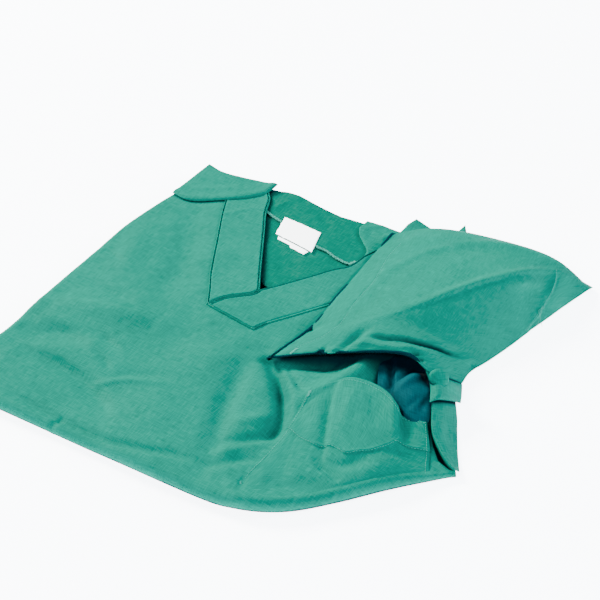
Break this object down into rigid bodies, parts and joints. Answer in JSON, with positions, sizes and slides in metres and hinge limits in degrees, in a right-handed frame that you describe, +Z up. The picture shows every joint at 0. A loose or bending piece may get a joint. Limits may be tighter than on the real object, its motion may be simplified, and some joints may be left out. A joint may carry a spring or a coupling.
{
  "type": "surgical tunic",
  "caption": "Short-sleeved surgical tunic with a V neck and a chest pocket, folded flat with one sleeve turned over the chest.",
  "frame": {"origin": "on the floor, below the middle of the folded tunic's box", "axes": "+Z up; -Y towards the folded lower half, so +Y runs up the body to the neck; +X towards the wearer's left"},
  "size_m": [0.4744, 0.4736, 0.0461],
  "materials": {
    "poplin_outside": "matte",
    "poplin_band": "matte",
    "poplin_inside": "matte",
    "label_satin": "satin"
  },
  "bodies": {
    "root": {"hidden_layers": "poplin_outside", "front_panel": "poplin_outside", "neck_band_right": "poplin_band", "neck_band_left": "poplin_band", "back_panel": "poplin_inside", "back_neck_facing": "poplin_inside", "care_label": "label_satin", "size_label": "label_satin", "right_shoulder": "poplin_outside", "left_shoulder": "poplin_outside", "left_sleeve": "poplin_outside", "left_underarm": "poplin_outside", "left_side": "poplin_outside", "chest_pocket": "poplin_outside"}
  },
  "joints": []
}
